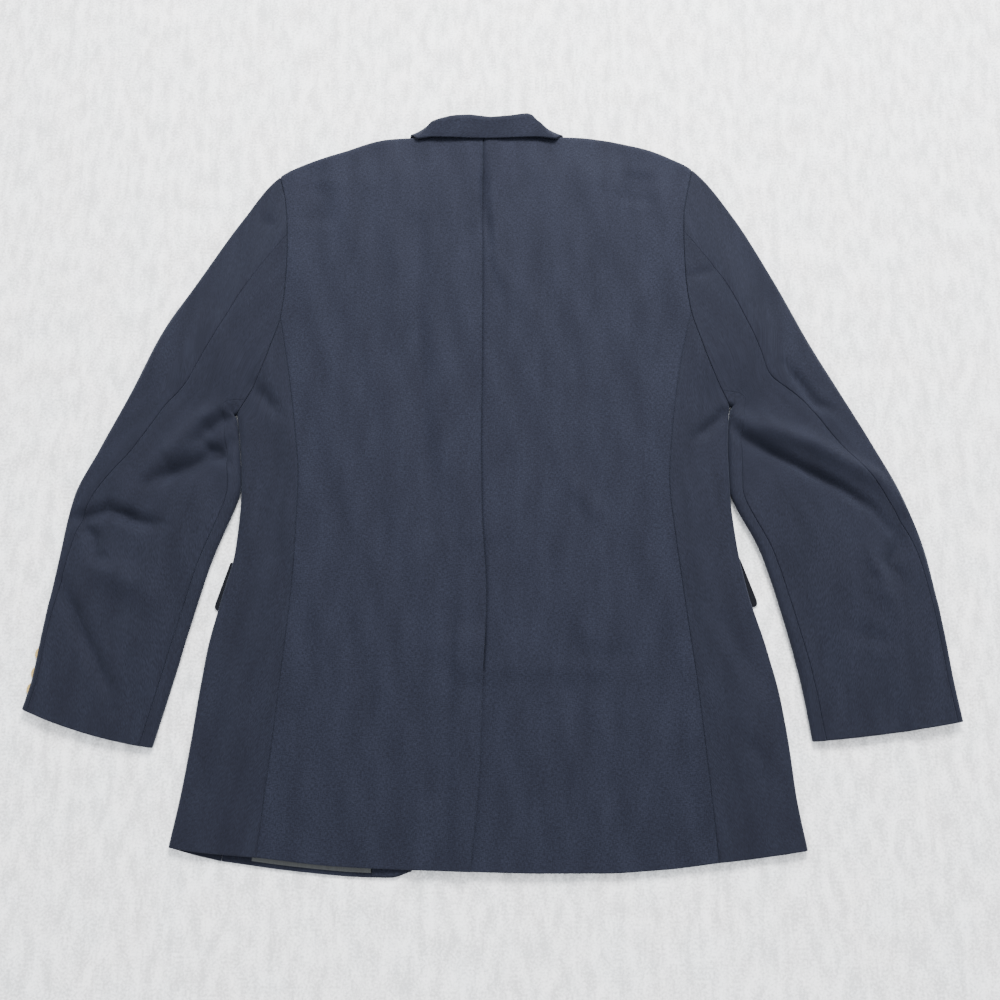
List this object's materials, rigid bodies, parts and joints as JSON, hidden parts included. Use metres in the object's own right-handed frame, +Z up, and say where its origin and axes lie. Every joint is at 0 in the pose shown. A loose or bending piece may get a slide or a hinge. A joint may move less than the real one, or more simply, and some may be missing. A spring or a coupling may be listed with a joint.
{
  "type": "blazer",
  "caption": "Dark navy wool blazer lying face down and flat, its back up: turned-down collar, two-piece sleeves, one centre back vent, pocket flaps and brass-coloured buttons.",
  "frame": {"origin": "middle of the blazer's outline seen from above, on the surface that it lies on", "axes": "+Z up from the surface, out of the back of the blazer; +Y from the hem to the collar; +X towards the wearer's right sleeve"},
  "size_m": [0.9226, 0.8032, 0.0342],
  "materials": {
    "wool": "matte worsted wool",
    "lining": "satin lining",
    "brass": "polished"
  },
  "bodies": {
    "root": {"back_left": "wool", "back_right": "wool", "side_left": "wool", "side_right": "wool", "front_left": "wool", "front_right": "wool", "lapel_left": "wool", "lapel_right": "wool", "collar": "wool", "sleeve_top_left": "wool", "sleeve_top_right": "wool", "sleeve_under_left": "wool", "sleeve_under_right": "wool", "flap_left": "wool", "flap_right": "wool", "facing_left": "wool", "lining_left": "lining", "cuff_button_left_1": "brass", "cuff_button_left_2": "brass", "cuff_button_left_3": "brass", "cuff_button_right_1": "brass", "cuff_button_right_2": "brass", "cuff_button_right_3": "brass", "front_button_upper": "brass", "front_button_lower": "brass"}
  },
  "joints": []
}
